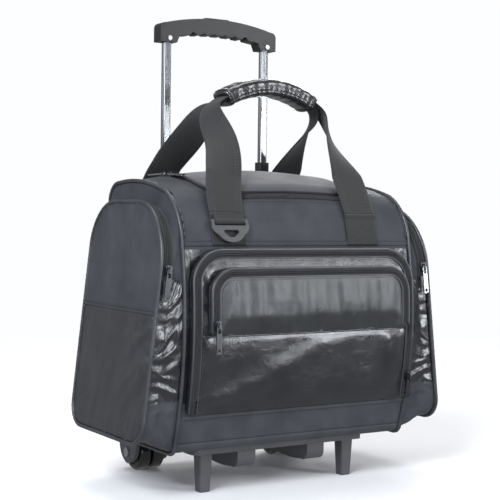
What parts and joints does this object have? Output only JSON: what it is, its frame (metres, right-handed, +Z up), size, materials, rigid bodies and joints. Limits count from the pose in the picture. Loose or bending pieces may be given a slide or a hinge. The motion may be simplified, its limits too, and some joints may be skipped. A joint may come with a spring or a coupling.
{
  "type": "pilot flight case",
  "caption": "Soft wheeled flight case with webbing carry handles, zipped front and end pockets, a shoulder-strap ring and a telescoping trolley handle.",
  "frame": {"origin": "on the floor under the middle of the case's overall box", "axes": "+Z up; +Y to the rear, where the trolley handle and wheels are; +X towards the end with the wrap's longer side"},
  "size_m": [0.467, 0.2791, 0.636],
  "materials": {
    "nylon_panel": "satin",
    "nylon_coated": "gloss",
    "webbing": "matte",
    "zip_tape": "matte",
    "zip_metal": "satin",
    "grip_plastic": "satin",
    "base_plastic": "matte",
    "ring_plastic": "satin",
    "tube_metal": "polished",
    "screw_steel": "satin",
    "wheel_rubber": "satin",
    "wheel_plastic": "gloss",
    "board": "matte",
    "padding": "matte"
  },
  "bodies": {
    "case": {"body_shell": "nylon_panel", "base_board": "board", "back_board": "board", "left_end_pocket": "nylon_coated", "right_end_pocket": "nylon_coated", "end_piping": "nylon_coated", "body_zip_half": "zip_tape", "left_end_zip": "zip_tape", "right_end_zip": "zip_tape", "front_pocket": "nylon_coated", "front_pocket_zip": "zip_tape", "small_pocket": "nylon_coated", "small_pocket_zip": "zip_tape", "front_anchors": "webbing", "rear_anchors": "webbing", "ring_loop": "webbing", "outer_tubes": "tube_metal", "outer_collars": "grip_plastic", "tube_cradle": "base_plastic", "tube_sleeve": "nylon_panel", "base_frame": "base_plastic", "feet": "base_plastic", "skids": "base_plastic", "base_screws": "screw_steel", "wheel_housings": "base_plastic", "axles": "screw_steel"},
    "lid": {"lid_flap": "nylon_panel", "lid_zip_half": "zip_tape"},
    "lid_slider_a": {"lid_slider_rear": "zip_metal"},
    "lid_pull_a": {"lid_pull_rear": "zip_metal"},
    "lid_slider_b": {"lid_slider_fore": "zip_metal"},
    "lid_pull_b": {"lid_pull_fore": "zip_metal"},
    "left_end_zip_slider": {"left_end_slider": "zip_metal"},
    "left_end_zip_pull": {"left_end_pull": "zip_metal"},
    "right_end_zip_slider": {"right_end_slider": "zip_metal"},
    "right_end_zip_pull": {"right_end_pull": "zip_metal"},
    "front_zip_slider": {"front_pocket_slider": "zip_metal"},
    "front_zip_pull": {"front_pocket_pull": "zip_metal"},
    "small_zip_slider": {"small_pocket_slider": "zip_metal"},
    "small_zip_pull": {"small_pocket_pull": "zip_metal"},
    "front_handle_loop": {"front_handle": "webbing", "handle_wrap": "padding"},
    "rear_handle_loop": {"rear_handle": "webbing"},
    "strap_ring": {"shoulder_ring": "ring_plastic"},
    "middle_stage": {"middle_tubes": "tube_metal", "middle_collars": "grip_plastic"},
    "inner_stage": {"inner_tubes": "tube_metal", "lock_blocks": "grip_plastic", "grip_front": "grip_plastic", "grip_rear": "grip_plastic", "grip_screws": "screw_steel", "button_spring": "screw_steel"},
    "button": {"release_button": "grip_plastic", "push_rods": "grip_plastic"},
    "left_pin": {"left_lock_pin": "screw_steel"},
    "right_pin": {"right_lock_pin": "screw_steel"},
    "left_wheels": {"left_tyres": "wheel_rubber", "left_hub": "wheel_plastic"},
    "right_wheels": {"right_tyres": "wheel_rubber", "right_hub": "wheel_plastic"}
  },
  "joints": [
    {"name": "lid_open", "type": "hinge", "parent": "case", "child": "lid", "pos_m": [0, 0.075, 0.412], "axis": [-1, 0, 0], "range_deg": [0, 56]},
    {"name": "front_handle_fold", "type": "hinge", "parent": "case", "child": "front_handle_loop", "pos_m": [0, -0.09788, 0.35803], "axis": [1, 0, 0], "range_deg": [0, 112], "deforming": ["handle_wrap"]},
    {"name": "rear_handle_fold", "type": "hinge", "parent": "case", "child": "rear_handle_loop", "pos_m": [0, 0.1024, 0.366], "axis": [-1, 0, 0], "range_deg": [0, 21]},
    {"name": "lid_slider_a_run", "type": "hinge", "parent": "lid", "child": "lid_slider_a", "pos_m": [-0.128, 0.03181, 0.13793], "axis": [-1, 0, 0], "range_deg": [0, 2]},
    {"name": "lid_pull_a_lift", "type": "hinge", "parent": "lid_slider_a", "child": "lid_pull_a", "pos_m": [-0.12852, 0.03655, 0.40918], "axis": [0.9901, 0.0025, 0.1407], "range_deg": [0, 120]},
    {"name": "lid_slider_b_run", "type": "hinge", "parent": "lid", "child": "lid_slider_b", "pos_m": [-0.128, 0.03181, 0.13793], "axis": [1, 0, 0], "range_deg": [0, 3]},
    {"name": "lid_pull_b_lift", "type": "hinge", "parent": "lid_slider_b", "child": "lid_pull_b", "pos_m": [-0.12852, 0.01667, 0.4088], "axis": [-0.9901, 0.0079, -0.1405], "range_deg": [0, 120]},
    {"name": "left_end_slider_run", "type": "hinge", "parent": "case", "child": "left_end_zip_slider", "pos_m": [-0.19682, -0.026, 0.28795], "axis": [-0.9935, 0, 0.1142], "range_deg": [0, 80]},
    {"name": "left_end_pull_lift", "type": "hinge", "parent": "left_end_zip_slider", "child": "left_end_zip_pull", "pos_m": [-0.19682, -0.1146, 0.28795], "axis": [-0.9935, 0, 0.1142], "range_deg": [0, 120]},
    {"name": "right_end_slider_run", "type": "hinge", "parent": "case", "child": "right_end_zip_slider", "pos_m": [0.19682, -0.026, 0.28795], "axis": [-0.9935, 0, -0.1142], "range_deg": [0, 80]},
    {"name": "right_end_pull_lift", "type": "hinge", "parent": "right_end_zip_slider", "child": "right_end_zip_pull", "pos_m": [0.19682, -0.1146, 0.28795], "axis": [-0.9935, 0, -0.1142], "range_deg": [0, 120]},
    {"name": "front_slider_run", "type": "slide", "parent": "case", "child": "front_zip_slider", "axis": [0, -0.1095, 0.994], "range_m": [0, 0.0402]},
    {"name": "front_pull_lift", "type": "hinge", "parent": "front_zip_slider", "child": "front_zip_pull", "pos_m": [0.165, -0.12445, 0.14146], "axis": [-1, 0, 0], "range_deg": [0, 120]},
    {"name": "small_slider_run", "type": "slide", "parent": "case", "child": "small_zip_slider", "axis": [0, 0.0208, 0.9998], "range_m": [0, 0.025]},
    {"name": "small_pull_lift", "type": "hinge", "parent": "small_zip_slider", "child": "small_zip_pull", "pos_m": [-0.141, -0.13875, 0.22099], "axis": [-1, 0, 0], "range_deg": [0, 120]},
    {"name": "ring_swing", "type": "hinge", "parent": "case", "child": "strap_ring", "pos_m": [-0.1085, -0.10446, 0.34706], "axis": [-1, 0, 0], "range_deg": [0, 36]},
    {"name": "middle_stage_slide", "type": "slide", "parent": "case", "child": "middle_stage", "axis": [0, 0, 1], "range_m": [0, 0.2]},
    {"name": "inner_stage_slide", "type": "slide", "parent": "middle_stage", "child": "inner_stage", "axis": [0, 0, 1], "range_m": [-0.148, 0]},
    {"name": "button_press", "type": "slide", "parent": "inner_stage", "child": "button", "axis": [0, 0, -1], "range_m": [0, 0.004], "stiffness_N_per_m": 600, "springref_m": -0.002, "deforming": ["button_spring"]},
    {"name": "left_pin_draw", "type": "slide", "parent": "inner_stage", "child": "left_pin", "axis": [1, 0, 0], "range_m": [0, 0.002]},
    {"name": "right_pin_draw", "type": "slide", "parent": "inner_stage", "child": "right_pin", "axis": [-1, 0, 0], "range_m": [0, 0.002]},
    {"name": "left_wheel_spin", "type": "hinge", "parent": "case", "child": "left_wheels", "pos_m": [-0.1117, 0.113, 0.025], "axis": [1, 0, 0], "continuous": true},
    {"name": "right_wheel_spin", "type": "hinge", "parent": "case", "child": "right_wheels", "pos_m": [0.1117, 0.113, 0.025], "axis": [1, 0, 0], "continuous": true}
  ],
  "couplings": [
    {"joint": "front_handle_fold", "follows": "lid_open", "ratio": 2},
    {"joint": "rear_handle_fold", "follows": "lid_open", "ratio": 0.375},
    {"joint": "left_pin_draw", "follows": "button_press", "ratio": 0.5},
    {"joint": "right_pin_draw", "follows": "button_press", "ratio": 0.5}
  ]
}
